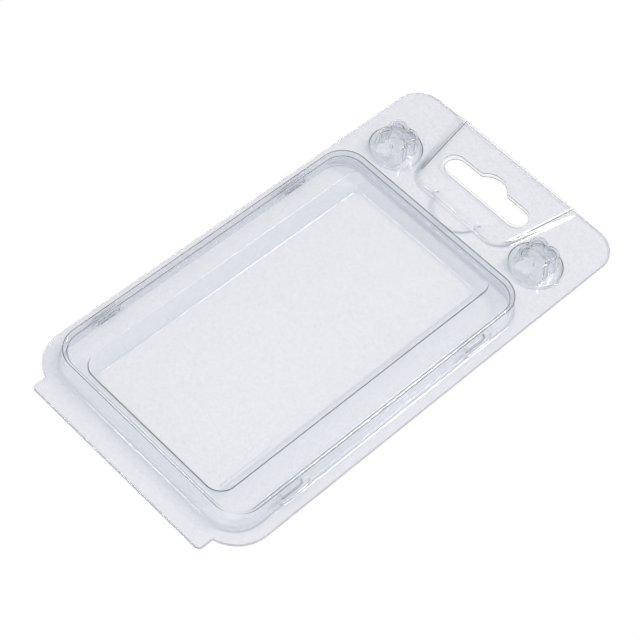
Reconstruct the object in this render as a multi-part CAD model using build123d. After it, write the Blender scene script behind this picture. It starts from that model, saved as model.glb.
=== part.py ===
"""A clear folding clamshell pack for a memory module, shown closed.

One thin formed sheet is folded over at its short end.  The back half is a tray:
a flat flange, a raised frame and a sunken well that holds the module.  The front
half is a cover whose bubble drops over the frame.  Two fluted buttons and four
snap dimples hold the halves together, and a wide slot hangs the pack from a peg.

Lengths are millimetres.  X runs across the pack, Y runs from the fold to the
header, and Z is up.  Forms are built with Y counted from the fold, and the
finished halves are then centred on the origin.
"""
import os
from math import cos, radians, tan

from build123d import *

# Sheet and cut outline
SHEET = 0.35
PACK_WIDTH = 84.0
PACK_LENGTH = 164.0
HEADER_LENGTH = 38.6
HEADER_CORNER = 9.0
FOLD_CORNER = 12.0
FLANGE_SETBACK = 4.5
TAB_WIDTH = 66.8
TAB_CORNER = 1.2

# Bend at the fold
HINGE_GAP = 0.1

# Bubble of the cover
BUBBLE_WIDTH = 76.2
BUBBLE_START = 8.2
BUBBLE_RISE = 6.9
BUBBLE_CORNER = 9.5
BUBBLE_ROUND = 1.4
WALL_DRAFT = 9.0
FOOT_ROUND = 0.5

# Frame of the tray, nested in the bubble
NEST_GAP = 0.95
LID_GAP = 0.8
FRAME_ROUND = 0.8

# Well sunk into the frame
WELL_SIDE_LEDGE = 9.1
WELL_END_LEDGE = 2.65
WELL_CORNER = 5.2
WELL_DRAFT = 24.0
WELL_RIM_ROUND = 0.6
WELL_FLOOR_ROUND = 0.7

# Fluted buttons in the header
BUTTON_SPACING = 57.5
BUTTON_FROM_HEADER = 24.8
BUTTON_LOBES = 4
BUTTON_TURN = 45.0
BUTTON_CORE = 5.0
BUTTON_REACH = 6.8
BUTTON_LOBE = 3.0
BUTTON_BLEND = 0.8
BUTTON_RISE = 6.8
BUTTON_TOP_SHARE = 0.84
BUTTON_ROUND = 1.2
BUTTON_GAP = 0.4
RING_RADIUS = 8.7
RING_RISE = 0.5
RING_DRAFT = 30.0

# Raised hanger panel with its finger dent
PANEL_LENGTH = 30.0
PANEL_FOOT_LOW = 37.0
PANEL_FOOT_HIGH = 53.4
PANEL_CREST_LOW = 34.0
PANEL_CREST_HIGH = 44.4
PANEL_CREST_STEP = 1.0
PANEL_CORNER = 5.0
PANEL_RISE = 0.8
DENT_RADIUS = 9.0
DENT_DEPTH = 6.0
DENT_SLOPE = 0.8
DENT_RISE = 0.6

# Hanging slot
SLOT_WIDTH = 32.0
SLOT_HEIGHT = 7.7
SLOT_FROM_HEADER = 15.7
SLOT_CROWN_RADIUS = 5.5
SLOT_CROWN_RISE = 3.1
SLOT_CROWN_BLEND = 2.0

# Snap dimples in the long walls
SNAP_FROM_END = 22.1
SNAP_LENGTH = 12.0
SNAP_RADIUS = 1.9
SNAP_DEPTH = 0.9
SNAP_PIN_LENGTH = 8.0
SNAP_PIN_RADIUS = 1.1
SNAP_CLEARANCE = 0.1

# How far every cutting form runs past the faces that it cuts
OVERRUN = 1.0

# Places worked out from the sizes above
fold_height = SHEET
cover_level = 2 * SHEET
bubble_top = cover_level + BUBBLE_RISE
bubble_length = PACK_LENGTH - HEADER_LENGTH - BUBBLE_START
bubble_centre = BUBBLE_START + bubble_length / 2
frame_inset = SHEET + NEST_GAP
frame_width = BUBBLE_WIDTH - 2 * frame_inset
frame_length = bubble_length - 2 * frame_inset
frame_corner = BUBBLE_CORNER - frame_inset
frame_top = bubble_top - SHEET - LID_GAP
well_width = frame_width - 2 * WELL_SIDE_LEDGE
well_length = frame_length - 2 * WELL_END_LEDGE
snap_spacing = bubble_length - 2 * SNAP_FROM_END
button_top = cover_level + BUTTON_RISE
button_place = PACK_LENGTH - BUTTON_FROM_HEADER
panel_start = PACK_LENGTH - PANEL_LENGTH
slot_place = PACK_LENGTH - SLOT_FROM_HEADER
pack_centre = (PACK_LENGTH - SHEET) / 2


def at(x, y, z=0):
    """Place a form at a point counted from the fold."""
    return Location((x, y, z))


def rounded_block(width, length, corner, low, high, draft):
    """A rounded rectangle that rises and narrows, centred on the bubble."""
    foot = RectangleRounded(width, length, corner)
    return extrude(at(0, bubble_centre, low) * foot, high - low, taper=draft)


def top_edges(form):
    """The edges round the highest face of a form."""
    return form.edges().group_by(Axis.Z)[-1]


def low_edges(form):
    """The edges round the lowest face of a form."""
    return form.edges().group_by(Axis.Z)[0]


def ring_edges(form):
    """The edges round the hole in the highest flat face that has one."""
    holed = form.faces().filter_by(lambda face: len(face.inner_wires()) > 0)
    return holed.sort_by(Axis.Z)[-1].inner_wires()[0].edges()


def with_foot(wall, width, length, corner, level, thickness, foot_round):
    """A wall standing on a slab, with a rounded foot where the two meet."""
    margin = foot_round + OVERRUN
    outline = RectangleRounded(width + 2 * margin, length + 2 * margin, corner + margin)
    slab = extrude(at(0, bubble_centre, level) * outline, -thickness)
    return fillet(ring_edges(slab + wall), foot_round)


def cut_outline(tab_start):
    """The cut edge of one half, with its tab reaching down towards the fold."""
    body_length = PACK_LENGTH - FLANGE_SETBACK
    body = at(0, FLANGE_SETBACK + body_length / 2) * Rectangle(PACK_WIDTH, body_length)
    corners = body.vertices().group_by(Axis.Y)
    body = fillet(corners[0], FOLD_CORNER)
    body = fillet(body.vertices().group_by(Axis.Y)[-1], HEADER_CORNER)
    tab_length = FLANGE_SETBACK + FOLD_CORNER - tab_start
    tab = at(0, tab_start + tab_length / 2) * Rectangle(TAB_WIDTH, tab_length)
    tab = fillet(tab.vertices().group_by(Axis.Y)[0], TAB_CORNER)
    return body + tab


def flat_half(level, tab_start):
    """The flat sheet of one half, from its lower face upwards."""
    return extrude(at(0, 0, level) * cut_outline(tab_start), SHEET)


def fold_bend():
    """The round bend that joins the halves at the fold."""
    length = TAB_WIDTH - 2 * TAB_CORNER
    return at(0, 0, fold_height) * Rotation(0, 90, 0) * Cylinder(SHEET, length)


def button_outline(shrink):
    """The fluted outline of a button, drawn in by an even amount."""
    outline = Circle(BUTTON_CORE - shrink)
    for place in PolarLocations(BUTTON_REACH - BUTTON_LOBE, BUTTON_LOBES, BUTTON_TURN):
        outline += place * Circle(BUTTON_LOBE - shrink)
    return fillet(outline.vertices(), BUTTON_BLEND + shrink)


def button_form(shrink, low, high, top_round):
    """Both buttons as solid fluted towers."""
    foot = button_outline(shrink)
    head = at(0, 0, high - low) * scale(foot, by=BUTTON_TOP_SHARE)
    tower = fillet(top_edges(loft([foot, head], ruled=True)), top_round)
    places = [at(side * BUTTON_SPACING / 2, button_place, low) for side in (-1, 1)]
    return [place * tower for place in places]


def ring_form(shrink, low):
    """The shallow round step at the foot of each button."""
    step = extrude(Circle(RING_RADIUS - shrink), RING_RISE, taper=RING_DRAFT)
    places = [at(side * BUTTON_SPACING / 2, button_place, low) for side in (-1, 1)]
    return [place * step for place in places]


def panel_outline(start, low_width, high_width, end):
    """A flared four-sided outline with rounded lower corners."""
    flare = (high_width - low_width) / PANEL_LENGTH / 2
    low = low_width / 2 + flare * (start - panel_start)
    high = low_width / 2 + flare * (end - panel_start)
    outline = make_face(Polyline((-low, start), (low, start), (high, end), (-high, end), close=True))
    return fillet(outline.vertices().group_by(Axis.Y)[0], PANEL_CORNER)


def panel_form(level, end):
    """The raised hanger panel, sloping down to the header's corners."""
    foot = panel_outline(panel_start, PANEL_FOOT_LOW, PANEL_FOOT_HIGH, end)
    crest = panel_outline(panel_start + PANEL_CREST_STEP, PANEL_CREST_LOW, PANEL_CREST_HIGH, end)
    return loft([at(0, 0, level) * foot, at(0, 0, level + PANEL_RISE) * crest], ruled=True)


def dent_form(level):
    """The half-moon step below the hanger panel, where a finger lifts the cover."""
    middle = panel_start - DENT_DEPTH + DENT_RADIUS
    foot = Circle(DENT_RADIUS)
    crest = Circle(DENT_RADIUS - DENT_SLOPE)
    dome = loft([foot, at(0, 0, DENT_RISE) * crest], ruled=True)
    reach = 2 * DENT_RADIUS
    keep_length = DENT_DEPTH + 2 * PANEL_CREST_STEP
    keep = at(0, panel_start - DENT_DEPTH + keep_length / 2, level)
    half = keep * Box(reach, keep_length, DENT_RISE, align=(Align.CENTER, Align.CENTER, Align.MIN))
    return at(0, middle, level) * dome & half


def hanging_slot():
    """The cutter for the wide hanging slot with its crowned upper edge."""
    slot = SlotOverall(SLOT_WIDTH, SLOT_HEIGHT)
    crown_height = SLOT_HEIGHT / 2 + SLOT_CROWN_RISE - SLOT_CROWN_RADIUS
    outline = slot + at(0, crown_height) * Circle(SLOT_CROWN_RADIUS)
    joins = outline.vertices().filter_by_position(Axis.Y, SLOT_HEIGHT / 4, SLOT_HEIGHT)
    joins = joins.filter_by_position(Axis.X, -SLOT_CROWN_RADIUS, SLOT_CROWN_RADIUS)
    outline = fillet(joins, SLOT_CROWN_BLEND)
    depth = button_top + 2 * OVERRUN
    return extrude(at(0, slot_place, -OVERRUN) * outline, depth)


def wall_place(half_width, level, height):
    """How far from the middle a drafted wall stands at a height."""
    return half_width - (height - level) * tan(radians(WALL_DRAFT))


def snap_forms(reach, height, radius, length):
    """Four rounded bars along the long walls, with their outer sides at one reach."""
    middle = length - 2 * radius
    bar = Rotation(90, 0, 0) * Cylinder(radius, middle)
    for end in (-1, 1):
        bar += at(0, end * middle / 2) * Sphere(radius)
    forms = []
    for side in (-1, 1):
        for end in (-1, 1):
            place = at(side * (reach - radius), bubble_centre + end * snap_spacing / 2, height)
            forms.append(place * bar)
    return forms


def cover_snap_height():
    """The height of a snap dimple's middle, just clear of the cover's flange."""
    return cover_level + SNAP_RADIUS


def cover_snaps(shrink):
    """The dimples of the cover, standing out from its wall."""
    height = cover_snap_height()
    reach = wall_place(BUBBLE_WIDTH / 2, cover_level, height) + SNAP_DEPTH - shrink
    return snap_forms(reach, height, SNAP_RADIUS - shrink, SNAP_LENGTH - 2 * shrink)


def tray_snaps(shrink):
    """The smaller bumps of the tray that catch in the cover's dimples."""
    mouth = wall_place(BUBBLE_WIDTH / 2, cover_level, cover_level + SHEET) - SHEET / cos(radians(WALL_DRAFT))
    reach = mouth - SNAP_CLEARANCE - shrink
    return snap_forms(reach, cover_snap_height(), SNAP_PIN_RADIUS - shrink, SNAP_PIN_LENGTH - 2 * shrink)


def frame_outside():
    """The tray's raised frame with its sunken well, as seen from above."""
    frame = rounded_block(frame_width, frame_length, frame_corner, 0, frame_top, WALL_DRAFT)
    frame = fillet(top_edges(frame), FRAME_ROUND)
    frame = with_foot(
        frame, frame_width, frame_length, frame_corner, fold_height, SHEET, FOOT_ROUND)
    frame -= well_form(0, SHEET, WELL_FLOOR_ROUND)
    return fillet(ring_edges(frame), WELL_RIM_ROUND) + tray_snaps(0)


def frame_inside():
    """The channel under the tray's frame, round the outside of the well."""
    width = frame_width - 2 * SHEET
    length = frame_length - 2 * SHEET
    corner = frame_corner - SHEET
    channel = rounded_block(width, length, corner, 0, frame_top - SHEET, WALL_DRAFT)
    channel = fillet(top_edges(channel), FRAME_ROUND - SHEET)
    channel = with_foot(channel, width, length, corner, 0, OVERRUN, FOOT_ROUND + SHEET)
    channel -= well_form(SHEET, 0, WELL_FLOOR_ROUND + SHEET)
    return fillet(ring_edges(channel), WELL_RIM_ROUND - SHEET) + tray_snaps(SHEET)


def well_form(grow, floor, floor_round):
    """The well as a solid that narrows downwards from above the frame to its floor."""
    slope = tan(radians(WELL_DRAFT))
    top = frame_top + OVERRUN
    spread = 2 * OVERRUN * slope
    rim = RectangleRounded(
        well_width + 2 * grow + spread, well_length + 2 * grow + spread,
        WELL_CORNER + grow + spread / 2)
    solid = extrude(at(0, bubble_centre, top) * rim, top - floor, dir=(0, 0, -1), taper=WELL_DRAFT)
    return fillet(low_edges(solid), floor_round)


def back_tray():
    """The back half: flange, frame, well, button studs and the bend at the fold."""
    tray = flat_half(0, 0) + frame_outside()
    tray += button_form(SHEET + BUTTON_GAP, 0, button_top - SHEET - LID_GAP, BUTTON_ROUND)
    tray -= frame_inside()
    tray -= button_form(2 * SHEET + BUTTON_GAP, 0, button_top - 2 * SHEET - LID_GAP, BUTTON_ROUND - SHEET)
    tray -= hanging_slot()
    return tray + fold_bend()


def bubble_form(shrink, level, thickness):
    """The bubble on a slab, drawn in by an even amount."""
    width = BUBBLE_WIDTH - 2 * shrink
    length = bubble_length - 2 * shrink
    corner = BUBBLE_CORNER - shrink
    bubble = rounded_block(width, length, corner, level, bubble_top - shrink, WALL_DRAFT)
    bubble = fillet(top_edges(bubble), BUBBLE_ROUND - shrink)
    bubble = with_foot(bubble, width, length, corner, level, thickness, FOOT_ROUND + shrink)
    return bubble + cover_snaps(shrink)


def front_cover():
    """The front half: flange, bubble, buttons, hanger panel and snap dimples."""
    cover = flat_half(fold_height, SHEET + HINGE_GAP) + bubble_form(0, cover_level, SHEET)
    cover += ring_form(0, cover_level)
    cover += button_form(0, cover_level, button_top, BUTTON_ROUND)
    cover += panel_form(cover_level, PACK_LENGTH)
    cover += dent_form(cover_level)
    cover -= bubble_form(SHEET, fold_height, OVERRUN)
    cover -= ring_form(SHEET, fold_height)
    cover -= button_form(SHEET, fold_height, button_top - SHEET, BUTTON_ROUND - SHEET)
    cover -= panel_form(fold_height, PACK_LENGTH + OVERRUN)
    cover -= dent_form(fold_height)
    return cover - hanging_slot()


def write_parts():
    """Write each half, centred on the origin, to its own file."""
    os.makedirs("parts", exist_ok=True)
    centred = at(0, -pack_centre)
    export_step(centred * back_tray(), "parts/back_tray.step")
    export_step(centred * front_cover(), "parts/front_cover.step")


write_parts()
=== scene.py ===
"""Looks of a clear hanging clamshell pack for a memory module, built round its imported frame."""
import logging
import math
import random
from collections.abc import Callable, Iterable, Sequence
from dataclasses import dataclass, field

import bmesh
import bpy
from mathutils import Matrix, Vector
from mathutils.geometry import delaunay_2d_cdt


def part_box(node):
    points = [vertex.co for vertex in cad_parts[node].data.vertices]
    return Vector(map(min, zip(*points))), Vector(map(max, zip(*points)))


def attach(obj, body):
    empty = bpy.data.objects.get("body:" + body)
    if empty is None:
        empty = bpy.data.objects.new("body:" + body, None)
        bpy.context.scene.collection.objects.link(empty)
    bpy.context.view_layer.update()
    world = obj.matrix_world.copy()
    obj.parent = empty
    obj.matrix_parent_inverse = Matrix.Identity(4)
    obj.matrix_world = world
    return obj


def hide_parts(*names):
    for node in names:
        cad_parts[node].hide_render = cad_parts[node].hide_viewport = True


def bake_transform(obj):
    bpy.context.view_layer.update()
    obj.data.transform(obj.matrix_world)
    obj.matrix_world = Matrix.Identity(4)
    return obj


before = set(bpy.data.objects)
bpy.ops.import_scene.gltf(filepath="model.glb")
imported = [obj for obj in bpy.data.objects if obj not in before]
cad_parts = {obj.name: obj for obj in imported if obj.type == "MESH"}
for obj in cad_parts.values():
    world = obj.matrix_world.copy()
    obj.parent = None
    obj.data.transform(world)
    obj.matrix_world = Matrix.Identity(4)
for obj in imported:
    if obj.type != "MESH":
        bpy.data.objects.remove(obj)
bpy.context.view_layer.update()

logging.basicConfig(level=logging.INFO, format="%(levelname)s %(message)s")
log = logging.getLogger("clamshell")

MM = 0.001
FULL_TURN = 2 * math.pi
QUARTER = math.pi / 2
# An edge stays sharp where its faces meet at more than this angle.
SHARP_ANGLE = math.radians(40)
# In millimetres: nearer points are one, shorter edges go, and plan points may lie this far apart.
WELD = 0.004
NEEDLE = 0.001
PLAN_SLACK = 1e-5
# A new stop of a colour ramp starts here, and green follows red's fall by this share.
RAMP_MIDDLE = 0.5
GREEN_SHARE = 0.7
# Soft noise stays within this span of values nearly everywhere.
NOISE_SPAN = (0.3, 0.7)
SPREAD_DETAIL = 3.0

Loop = list[Vector]
Height = Callable[[Vector], float]


def flat(x: float, y: float) -> Vector:
    """Make a plan point."""
    return Vector((x, y))


def on_circle(centre: Vector, radius: float, angle: float) -> Vector:
    """Find the point of a circle at an angle."""
    return centre + flat(math.cos(angle), math.sin(angle)) * radius


def arc(centre: Vector, radius: float, start: float, end: float, steps: int) -> Loop:
    """Walk along an arc.

    Args:
        centre: The arc's centre.
        radius: Its radius.
        start: The first angle, in radians.
        end: The last angle.
        steps: How many straight runs it takes.

    Returns:
        The points, both ends among them.
    """
    return [on_circle(centre, radius, start + (end - start) * i / steps) for i in range(steps + 1)]


def rounded_line(points: Sequence[Vector], radii: Sequence[float], steps: int, support: float,
                 stride: float = math.inf) -> Loop:
    """Round the inner corners of a line and hold each round with a point beyond its ends.

    Args:
        points: The line's sharp points.
        radii: The radius at each inner point.
        steps: Straight runs in each round.
        support: How far past a round its holding points stand.
        stride: The longest straight run that is left whole.

    Returns:
        The rounded line.
    """
    line = [points[0]]
    for before, corner, after, radius in zip(points, points[1:], points[2:], radii):
        back = (before - corner).normalized()
        ahead = (after - corner).normalized()
        half = back.angle(ahead) / 2
        reach = radius / math.tan(half)
        centre = corner + (back + ahead).normalized() * (radius / math.sin(half))
        start = corner + back * reach - centre
        end = corner + ahead * reach - centre
        first = math.atan2(start.y, start.x)
        sweep = math.remainder(math.atan2(end.y, end.x) - first, FULL_TURN)
        line.append(corner + back * (reach + support))
        line += arc(centre, radius, first, first + sweep, steps)
        line.append(corner + ahead * (reach + support))
    line.append(points[-1])
    return divided(line, stride)


def divided(line: Loop, stride: float) -> Loop:
    """Split every run of a line that is longer than a stride."""
    result = [line[0]]
    for start, end in zip(line, line[1:]):
        parts = max(1, math.ceil((end - start).length / stride))
        result += [start.lerp(end, (i + 1) / parts) for i in range(parts)]
    return result


def inside(loop: Loop, point: Vector) -> bool:
    """Tell whether a plan point lies inside a closed loop."""
    hit = False
    for a, b in zip(loop, loop[1:] + loop[:1]):
        if (a.y > point.y) != (b.y > point.y):
            if point.x < (b.x - a.x) * (point.y - a.y) / (b.y - a.y) + a.x:
                hit = not hit
    return hit


def placed(name: str, data: bpy.types.ID) -> bpy.types.Object:
    """Make an object of a mesh, a lamp or a camera and put it in the scene."""
    thing = bpy.data.objects.new(name, data)
    bpy.context.scene.collection.objects.link(thing)
    return thing


def meshed(bm: bmesh.types.BMesh, name: str,
           finishes: Sequence[bpy.types.Material]) -> bpy.types.Mesh:
    """Turn finished work into a mesh with its materials.

    Args:
        bm: The work, which is freed.
        name: The mesh's name.
        finishes: The mesh's materials, in order.

    Returns:
        The mesh.
    """
    mesh = bpy.data.meshes.new(name)
    bm.to_mesh(mesh)
    bm.free()
    for finish in finishes:
        mesh.materials.append(finish)
    return mesh


def smoothed(mesh: bpy.types.Mesh) -> None:
    """Shade a mesh smooth between its sharp edges."""
    mesh.shade_smooth()
    mesh.set_sharp_from_angle(angle=SHARP_ANGLE)


@dataclass(frozen=True)
class Station:
    """One place round a path, with the outward direction there."""

    point: Vector
    out: Vector


@dataclass(frozen=True)
class RoundedPath:
    """A rounded rectangle in plan, walked anticlockwise, in millimetres."""

    width: float
    length: float
    corner: float
    centre_y: float
    side_marks: tuple[float, ...] = ()
    corner_steps: int = 14
    end_steps: int = 6

    def stations(self) -> list[Station]:
        """Walk round the path once.

        Returns:
            The stations, with no place given twice.
        """
        across = self.width / 2 - self.corner
        along = self.length / 2 - self.corner
        ends = [across * (2 * i / self.end_steps - 1) for i in range(1, self.end_steps)]
        marks = [mark for mark in self.side_marks if abs(mark) < along]
        middle = flat(0, self.centre_y)
        round_trip: list[Station] = []
        for turn in range(4):
            first = turn * QUARTER
            out = on_circle(flat(0, 0), 1, first)
            if turn % 2:
                run = [flat(-x, 0) for x in ends] if turn == 1 else [flat(x, 0) for x in ends]
                reach = self.length / 2
            else:
                run = [flat(0, y) for y in marks] if turn == 0 else [flat(0, -y) for y in marks]
                reach = self.width / 2
            round_trip += [Station(middle + p + out * reach, out) for p in run]
            sign_x = 1 if turn in (0, 3) else -1
            sign_y = 1 if turn in (0, 1) else -1
            hub = middle + flat(across * sign_x, along * sign_y)
            for i in range(self.corner_steps + 1):
                way = on_circle(flat(0, 0), 1, first + QUARTER * i / self.corner_steps)
                round_trip.append(Station(hub + way * self.corner, way))
        return round_trip

    def loop(self, inset: float, drift: float = 0.0) -> Loop:
        """Find the path drawn in by an even amount, and its right side by a drift more."""
        return [station.point - station.out * inset - flat(drift * max(0.0, station.out.x), 0)
                for station in self.stations()]


@dataclass(frozen=True)
class WallSnaps:
    """Rounded dimples that stand out from the long walls."""

    reach: float
    height: float
    radius: float
    length: float
    spacing: float
    centre_y: float
    melt: float = 0.18
    side_limit: float = 0.5

    def beyond(self, station: Station, inset: float, height: float) -> float:
        """Find how far a wall point is pushed out.

        Args:
            station: The wall's place in plan.
            inset: How far in the wall stands there.
            height: The point's height.

        Returns:
            The push along the station's outward direction.
        """
        along = abs(abs(station.point.y - self.centre_y) - self.spacing / 2)
        past = max(0.0, along - (self.length / 2 - self.radius))
        room = self.radius ** 2 - (height - self.height) ** 2 - past ** 2
        if abs(station.out.y) > self.side_limit or room <= 0:
            return 0.0
        stand = abs(station.point.x) - inset
        bulge = self.reach - self.radius + math.sqrt(room) - stand
        return (bulge + math.sqrt(bulge ** 2 + self.melt ** 2)) / 2


class SheetWork:
    """A formed sheet's upper face while it is built, in millimetres from the fold."""

    def __init__(self) -> None:
        """Start with nothing."""
        self.bm = bmesh.new()

    def ring(self, places: Iterable[Vector]) -> list[bmesh.types.BMVert]:
        """Add a row of points."""
        return [self.bm.verts.new(place) for place in places]

    def bridge(self, first: list[bmesh.types.BMVert], second: list[bmesh.types.BMVert]) -> None:
        """Join two rings of as many points with quads.

        Args:
            first: One ring.
            second: The other ring.
        """
        count = len(first)
        for i in range(count):
            j = (i + 1) % count
            self.bm.faces.new((first[i], first[j], second[j], second[i]))

    def sweep(self, path: RoundedPath, profile: Loop, snaps: WallSnaps | None = None,
              drift: float = 0.0) -> None:
        """Carry a profile round a path.

        Args:
            path: The path in plan.
            profile: Points of inset and height.
            snaps: Dimples that push the wall out.
            drift: How much further in the profile's low end stands on the right.
        """
        stations = path.stations()
        rows = []
        for inset, height in profile:
            places = []
            for station in stations:
                push = snaps.beyond(station, inset, height) if snaps else 0.0
                plan = station.point + station.out * (push - inset)
                drop = (profile[0].y - height) / (profile[0].y - profile[-1].y)
                away = drift * drop * max(0.0, station.out.x)
                places.append(Vector((plan.x - away, plan.y, height)))
            rows.append(self.ring(places))
        for first, second in zip(rows, rows[1:]):
            self.bridge(first, second)

    def fill(self, outline: Loop, holes: Sequence[Loop], lines: Sequence[Loop],
             height: Height) -> None:
        """Fill a plan region and lift it to its height.

        Args:
            outline: The closed outer loop.
            holes: Closed loops that stay open.
            lines: Open lines that the faces follow.
            height: The height over a plan point.
        """
        points: Loop = []
        edges: list[tuple[int, int]] = []
        for loop in (outline, *holes):
            first = len(points)
            points += loop
            edges += [(first + i, first + (i + 1) % len(loop)) for i in range(len(loop))]
        for line in lines:
            first = len(points)
            points += line
            edges += [(first + i, first + i + 1) for i in range(len(line) - 1)]
        found, _, faces, *_ = delaunay_2d_cdt(points, edges, [], 0, PLAN_SLACK)
        verts = {}
        for face in faces:
            middle = sum((found[i] for i in face), flat(0, 0)) / len(face)
            if not inside(outline, middle) or any(inside(hole, middle) for hole in holes):
                continue
            for i in face:
                if i not in verts:
                    verts[i] = self.bm.verts.new((*found[i], height(found[i])))
            self.bm.faces.new([verts[i] for i in face])

    def finish(self, name: str, fold_y: float, thickness: float,
               finishes: Sequence[bpy.types.Material]) -> bpy.types.Object:
        """Join the work, give it its thickness below and make it an object.

        Args:
            name: The object's name.
            fold_y: Where the fold lies in the frame, in millimetres.
            thickness: The sheet's thickness.
            finishes: The material of its faces and that of its cut edge.

        Returns:
            The finished object.
        """
        bmesh.ops.remove_doubles(self.bm, verts=self.bm.verts, dist=WELD)
        bmesh.ops.dissolve_degenerate(self.bm, edges=self.bm.edges, dist=NEEDLE)
        bmesh.ops.recalc_face_normals(self.bm, faces=self.bm.faces)
        if sum(face.normal.z * face.calc_area() for face in self.bm.faces) < 0:
            bmesh.ops.reverse_faces(self.bm, faces=self.bm.faces)
        for vert in self.bm.verts:
            vert.co = (vert.co + Vector((0, fold_y, 0))) * MM
        sheet = placed(name, meshed(self.bm, name, finishes))
        body = sheet.modifiers.new("thickness", "SOLIDIFY")
        body.thickness = thickness * MM
        body.offset = -1
        body.material_offset_rim = 1
        body.use_even_offset = True
        body.use_quality_normals = True
        settle(sheet)
        return sheet


def settle(piece: bpy.types.Object) -> None:
    """Apply a piece's modifiers and shade it smooth between its sharp edges."""
    graph = bpy.context.evaluated_depsgraph_get()
    mesh = bpy.data.meshes.new_from_object(piece.evaluated_get(graph))
    old = piece.data
    piece.modifiers.clear()
    piece.data = mesh
    mesh.name = old.name
    bpy.data.meshes.remove(old)
    smoothed(mesh)


@dataclass(frozen=True)
class CutOutline:
    """The cut edge of one half."""

    width: float = 84.0
    length: float = 164.0
    header_corner: float = 9.0
    fold_corner: float = 12.0
    setback: float = 4.5
    tab_width: float = 66.8
    tab_corner: float = 1.2
    arc_steps: int = 18
    tab_steps: int = 6

    def loop(self, tab_start: float, trim: float) -> Loop:
        """Walk round the cut edge.

        Args:
            tab_start: How far from the fold the tab starts.
            trim: How far the edge is drawn in.

        Returns:
            The closed loop, anticlockwise.
        """
        half = self.width / 2 - trim
        top = self.length - trim
        header = self.header_corner - trim
        fold = self.fold_corner - trim
        tab = self.tab_width / 2 - trim
        low = self.setback + trim
        loop = arc(flat(half - header, top - header), header, 0, QUARTER, self.arc_steps)
        loop += arc(flat(header - half, top - header), header, QUARTER, 2 * QUARTER,
                    self.arc_steps)
        reach = low + fold
        drop = math.acos((tab - (half - fold)) / fold)
        loop += arc(flat(fold - half, reach), fold, 2 * QUARTER, 2 * QUARTER + drop,
                    self.arc_steps)
        loop += arc(flat(self.tab_corner - tab, tab_start + self.tab_corner), self.tab_corner,
                    2 * QUARTER, 3 * QUARTER, self.tab_steps)
        loop += arc(flat(tab - self.tab_corner, tab_start + self.tab_corner), self.tab_corner,
                    3 * QUARTER, 4 * QUARTER, self.tab_steps)
        loop += arc(flat(half - fold, reach), fold, -drop, 0, self.arc_steps)
        return loop


@dataclass(frozen=True)
class HangingSlot:
    """The wide hanging slot with its crowned upper edge."""

    width: float = 32.0
    height: float = 7.7
    from_fold: float = 148.3
    crown_radius: float = 5.5
    crown_rise: float = 3.1
    crown_blend: float = 2.0
    shift: float = 0.0
    steps: int = 16
    blend_steps: int = 6

    def loop(self) -> Loop:
        """Walk round the slot's edge."""
        end = self.height / 2
        side = self.width / 2 - end
        hub = end + self.crown_rise - self.crown_radius
        lift = end + self.crown_blend - hub
        span = math.sqrt((self.crown_radius + self.crown_blend) ** 2 - lift ** 2)
        lean = math.atan2(lift, span)
        centre = flat(self.shift, self.from_fold)
        loop = arc(centre + flat(side, 0), end, -QUARTER, QUARTER, self.steps)
        loop += arc(centre + flat(span, hub + lift), self.crown_blend, -QUARTER,
                    -2 * QUARTER + lean, self.blend_steps)
        loop += arc(centre + flat(0, hub), self.crown_radius, lean, 2 * QUARTER - lean, self.steps)
        loop += arc(centre + flat(-span, hub + lift), self.crown_blend, -lean, -QUARTER,
                    self.blend_steps)
        loop += arc(centre + flat(-side, 0), end, QUARTER, 3 * QUARTER, self.steps)
        return loop


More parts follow.
